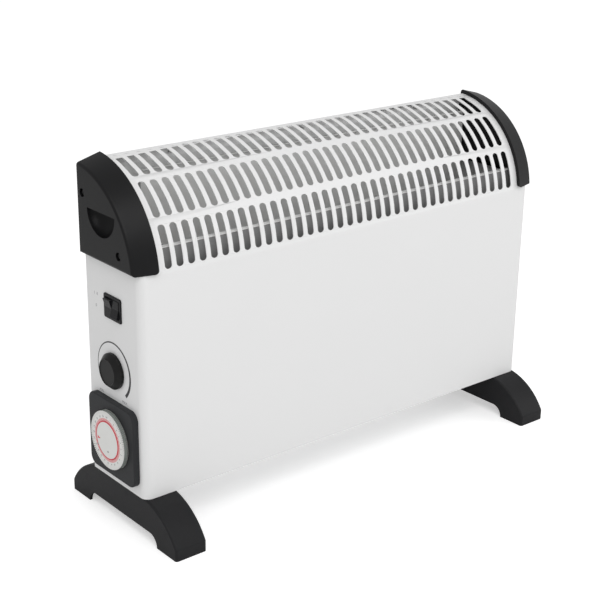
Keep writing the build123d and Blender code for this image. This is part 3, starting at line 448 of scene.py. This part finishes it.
# a triangle for the head and a small square for the stem
stem = hubMarks["stemShift"]
for sides, share, shift, turn in ((3, 1.0, 0.0, 270), (4, 0.5, stem, 135)):
    size = hubMarks["arrowSize"] * share
    spot = endWall(
        timerLook["hubX"], timerLook["axisY"] + hubMarks["arrowY"] - shift,
        timerLook["axisZ"] + hubMarks["arrowZ"], math.radians(turn),
    )
    bmesh.ops.create_cone(
        bm, cap_ends=True, segments=sides, radius1=size, radius2=size,
        depth=2 * timerLook["printHeight"], matrix=spot,
    )
newPiece("hub_arrow", bm, "casing", redInk)
bm = bmesh.new()
for dy, dz in hubMarks["dots"]:
    spot = endWall(timerLook["hubX"], timerLook["axisY"] + dy, timerLook["axisZ"] + dz)
    bmesh.ops.create_cone(
        bm, cap_ends=True, segments=20, radius1=hubMarks["dotRadius"],
        radius2=hubMarks["dotRadius"],
        depth=2 * timerLook["printHeight"], matrix=spot,
    )
newPiece("hub_dots", bm, "casing", greyInkAndShade)
print("timer printed")

# Scale round the thermostat knob: a line that swells clockwise
knobScale = {
    "y": 0.003, "z": 0.171, "radius": 0.0293, "thin": 0.0007, "thick": 0.0034,
    "startDegrees": -37.0, "sweepDegrees": 263.0, "steps": 64, "wallX": -0.27,
    "minPlace": (0.0275, 0.1415), "maxPlace": (-0.0150, 0.1425), "letters": 0.0042,
}
bm = bmesh.new()
low = bm.verts.new((0, knobScale["radius"] - 0.0001, 0))
high = bm.verts.new((0, knobScale["radius"] + 0.0001, 0))
line = bm.edges.new((low, high))
bmesh.ops.spin(
    bm, geom=[low, high, line], cent=(0, 0, 0), axis=(0, 0, 1),
    angle=-math.radians(knobScale["sweepDegrees"]), steps=knobScale["steps"],
)
for vert in bm.verts:
    turned = (math.atan2(vert.co.x, vert.co.y)) % (2 * math.pi)
    share = turned / math.radians(knobScale["sweepDegrees"])
    width = knobScale["thin"] + (knobScale["thick"] - knobScale["thin"]) * share ** 1.6
    side = 1 if vert.co.length > knobScale["radius"] else -1
    vert.co = vert.co.normalized() * (knobScale["radius"] + side * width / 2)
grown = bmesh.ops.extrude_face_region(bm, geom=bm.faces[:])["geom"]
raised = [part for part in grown if isinstance(part, bmesh.types.BMVert)]
bmesh.ops.translate(bm, verts=raised, vec=(0, 0, 2 * timerLook["printHeight"]))
bmesh.ops.transform(bm, matrix=endWall(
    knobScale["wallX"], knobScale["y"], knobScale["z"],
    math.radians(90 - knobScale["startDegrees"]),
), verts=bm.verts[:])
newPiece("knob_scale", bm, "casing", blackInkAndShade)
switchMarks = {
    "letters": 0.0046,
    "words": (("I", 0.034, 0.2445), ("II", 0.029, 0.2445), ("0", 0.0315, 0.232)),
}
bm = bmesh.new()
thin = timerLook["printHeight"]
for words, (y, z) in (("MIN", knobScale["minPlace"]), ("MAX", knobScale["maxPlace"])):
    addText(bm, words, knobScale["letters"], thin, endWall(knobScale["wallX"], y, z))
for words, y, z in switchMarks["words"]:
    addText(bm, words, switchMarks["letters"], thin, endWall(knobScale["wallX"], y, z))
newPiece("wall_marks", bm, "casing", greyInkAndShade)
print("scale printed")

# Grille with its slots at full width, the tall inner sheet, and the walls that shut the ends
grille = {
    "axisY": 0.056, "axisZ": 0.273, "radius": 0.104, "pitch": 0.0135, "columns": 36,
    "slotWidth": 0.0068, "fullWidth": 0.0082, "lastRowMiddle": 0.12485, "longer": 0.010,
    "wallStart": 0.244, "wallDepth": 0.0128, "wallRadius": 0.1028, "wallBack": 0.0461,
    "wallLow": 0.307, "sheetRise": 0.050, "sheetEnd": 0.243,
}
innerSheet = dict(casingPaint, colour=(0.80, 0.80, 0.79), roughness=0.5, dust=0.0)


def copyOf(node):
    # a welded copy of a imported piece
    bm = bmesh.new()
    bm.from_mesh(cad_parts[node].data)
    bmesh.ops.remove_doubles(bm, verts=bm.verts[:], dist=0.00001)
    return bm


def standIn(name, bm, node, material):
    piece = newPiece(name, bm, "casing", material)
    piece.data.shade_smooth()
    piece.data.set_sharp_from_angle(angle=math.radians(28))
    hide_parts(node)
    return piece


bm = copyOf("front_shell")
firstColumn = -(grille["columns"] - 1) / 2 * grille["pitch"]
upperEnds = []
for vert in bm.verts:
    dy, dz = vert.co.y - grille["axisY"], vert.co.z - grille["axisZ"]
    reach = math.hypot(dy, dz)
    column = round((vert.co.x - firstColumn) / grille["pitch"])
    middle = firstColumn + column * grille["pitch"]
    onCurve = dz > 0.005 and abs(reach - grille["radius"]) < 0.0015
    if not onCurve or not 0 <= column < grille["columns"]:
        continue
    if abs(vert.co.x - middle) > grille["slotWidth"] / 2 + 0.00005:
        continue
    if math.atan2(dz, -dy) * grille["radius"] > grille["lastRowMiddle"]:
        upperEnds.append(vert)
    vert.co.x = middle + (vert.co.x - middle) * grille["fullWidth"] / grille["slotWidth"]
bmesh.ops.rotate(
    bm, cent=(0, grille["axisY"], grille["axisZ"]), verts=upperEnds,
    matrix=Matrix.Rotation(-grille["longer"] / grille["radius"], 3, "X"),
)
standIn("grille_shell", bm, "front_shell", bpy.data.materials["CasingPaint"])

bm = copyOf("rear_heat_shield")
top = [vert for vert in bm.verts if vert.co.z > 0.29]
bmesh.ops.translate(bm, verts=top, vec=(0, 0, grille["sheetRise"]))
for vert in bm.verts:
    vert.co.x = min(vert.co.x, grille["sheetEnd"])
standIn("tall_inner_sheet", bm, "rear_heat_shield", coatedSheet("InnerSheet", innerSheet))

bm = bmesh.new()
for side in (-1, 1):
    stand = Matrix.Translation((side * grille["wallStart"], grille["axisY"], grille["axisZ"]))
    bmesh.ops.create_circle(
        bm, cap_ends=True, segments=96, radius=grille["wallRadius"],
        matrix=stand @ Matrix.Rotation(math.pi / 2, 4, "Y"),
    )
backCut = ((0, grille["wallBack"], 0), (0, 1, 0))
lowCut = ((0, 0, grille["wallLow"]), (0, 0, -1))
for spot, out in (backCut, lowCut):
    bmesh.ops.bisect_plane(
        bm, geom=bm.verts[:] + bm.edges[:] + bm.faces[:], plane_co=spot, plane_no=out,
        clear_outer=True,
    )
grown = bmesh.ops.extrude_face_region(bm, geom=bm.faces[:])["geom"]
for part in grown:
    if isinstance(part, bmesh.types.BMVert):
        part.co.x += math.copysign(grille["wallDepth"], part.co.x)
newPiece("grille_end_walls", bm, "casing", bpy.data.materials["CapMoulding"])
print("grille finished")

# Cross recesses of the screws that show, drawn as thin dark crosses: painted shade in the
# recesses
crossShape = {
    "arm": 0.0034, "width": 0.0008, "depth": 0.00012, "capX": 0.2742,
    "capPlaces": ((-0.022, 0.2975), (0.0395, 0.346)), "rearY": 0.0498,
}


def addCrosses(bm, spots):
    for spot in spots:
        arm, width = crossShape["arm"], crossShape["width"]
        for across, along in ((arm, width), (width, arm)):
            scaled = Matrix.Diagonal((across, along, crossShape["depth"], 1.0))
            bmesh.ops.create_cube(bm, size=1.0, matrix=spot @ scaled)


capHeads = [
    (side * crossShape["capX"], y, z) for side in (-1, 1) for y, z in crossShape["capPlaces"]
]
bm = bmesh.new()
turnSide = Matrix.Rotation(math.pi / 2, 4, "Y")
addCrosses(bm, [Matrix.Translation(head) @ turnSide for head in capHeads])
# black crosses on the cap screws: painted shade for their recesses
newPiece("cap_screw_crosses", bm, "casing", blackInkAndShade)
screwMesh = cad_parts["rear_screws"].data
faceY = crossShape["rearY"]
bm = bmesh.new()
bm.from_mesh(screwMesh)
bmesh.ops.remove_doubles(bm, verts=bm.verts[:], dist=0.00001)
middles = []
for face in bm.faces:
    for vert in face.verts:
        if vert.co.y > faceY - 0.00005:
            near = [m for m in middles if (m[0] / m[1] - vert.co).length < 0.01]
            if near:
                near[0][0] += vert.co
                near[0][1] += 1
            else:
                middles.append([vert.co.copy(), 1])
bm.free()
bm = bmesh.new()
turnBack = Matrix.Rotation(math.pi / 2, 4, "X")
addCrosses(bm, [Matrix.Translation(total / count) @ turnBack for total, count in middles])
# grey crosses on the rear screws: painted shade for their recesses
newPiece("rear_screw_crosses", bm, "casing", greyInkAndShade)
print("screws slotted")

# Studio: pale floor and backdrop, plain soft light
studio = {
    "floorColour": (0.9, 0.9, 0.9), "floorSize": 12.0, "worldLevel": 0.62,
    "floorGlow": 0.45, "keyPower": 26.0, "keySize": 1.8, "keyPlace": (-0.9, -1.6, 2.3),
    "fillPower": 8.0, "fillPlace": (1.6, -1.4, 1.0), "fillSize": 1.5,
}
bm = bmesh.new()
bmesh.ops.create_grid(bm, x_segments=1, y_segments=1, size=studio["floorSize"] / 2)
floorMesh = bpy.data.meshes.new("studio_floor")
bm.to_mesh(floorMesh)
bm.free()
floor = bpy.data.objects.new("studio_floor", floorMesh)
bpy.context.scene.collection.objects.link(floor)
g = Graph("StudioFloor")
g.fill(Base_Color=rgba(studio["floorColour"]), Roughness=0.9, Specular_IOR_Level=0.0)
path = g.node("ShaderNodeLightPath", {}, {}, "Is Camera Ray")
glow = g.tree.nodes.new("ShaderNodeEmission")
glow.inputs["Color"].default_value = (1, 1, 1, 1)
g.tree.links.new((path * studio["floorGlow"]).output, glow.inputs["Strength"])
both = g.tree.nodes.new("ShaderNodeAddShader")
g.tree.links.new(g.shader.outputs[0], both.inputs[0])
g.tree.links.new(glow.outputs[0], both.inputs[1])
g.tree.links.new(both.outputs[0], g.tree.nodes["Material Output"].inputs["Surface"])
floorMesh.materials.append(g.material)

world = bpy.data.worlds.new("Studio")
bpy.context.scene.world = world
world.use_nodes = True
tree = world.node_tree
background = tree.nodes["Background"]
background.inputs["Color"].default_value = (1, 1, 1, 1)
rays = tree.nodes.new("ShaderNodeLightPath")
seen = tree.nodes.new("ShaderNodeMath")
seen.operation = "MAXIMUM"
tree.links.new(rays.outputs["Is Camera Ray"], seen.inputs[0])
seen.inputs[1].default_value = studio["worldLevel"]
tree.links.new(seen.outputs[0], background.inputs["Strength"])


def softLamp(name, place, target, power, size, sizeUp=None):
    lamp = bpy.data.lights.new(name, "AREA")
    lamp.shape = "RECTANGLE"
    lamp.size = size
    lamp.size_y = sizeUp or size
    lamp.energy = power
    holder = bpy.data.objects.new(name, lamp)
    bpy.context.scene.collection.objects.link(holder)
    holder.location = place
    aim = Vector(target) - Vector(place)
    holder.rotation_euler = aim.to_track_quat("-Z", "Y").to_euler()
    return holder


softLamp("key", studio["keyPlace"], (0, 0, 0.15), studio["keyPower"], studio["keySize"])
softLamp("fill", studio["fillPlace"], (0, 0, 0.15), studio["fillPower"], studio["fillSize"])

# Camera at the photograph's viewing angle
shot = {
    "turn": -40.04, "rise": 20.78, "roll": 0.97, "aside": -0.0159, "up": 0.1206,
    "distance": 1.5575, "focalPixels": 1369.2, "framePixels": 616, "casingBottom": 0.047,
}
turn, rise, roll = (math.radians(shot[k]) for k in ("turn", "rise", "roll"))
level = math.cos(rise)
back = Vector((math.sin(turn) * level, -math.cos(turn) * level, math.sin(rise)))
right = Vector((0, 0, 1)).cross(back).normalized()
upright = back.cross(right)
lensRight = math.cos(roll) * right + math.sin(roll) * upright
lensUp = -math.sin(roll) * right + math.cos(roll) * upright
place = lensRight * shot["aside"] + lensUp * shot["up"] + back * shot["distance"]
place.z += shot["casingBottom"]
camera = bpy.data.cameras.new("camera")
camera.sensor_width = 36.0
camera.lens = shot["focalPixels"] / shot["framePixels"] * 36.0
camera.clip_end = 50.0
holder = bpy.data.objects.new("camera", camera)
bpy.context.scene.collection.objects.link(holder)
holder.matrix_world = Matrix.Translation(place) @ Matrix(
    (lensRight, lensUp, back)
).transposed().to_4x4()
bpy.context.scene.camera = holder
print("studio and camera set")
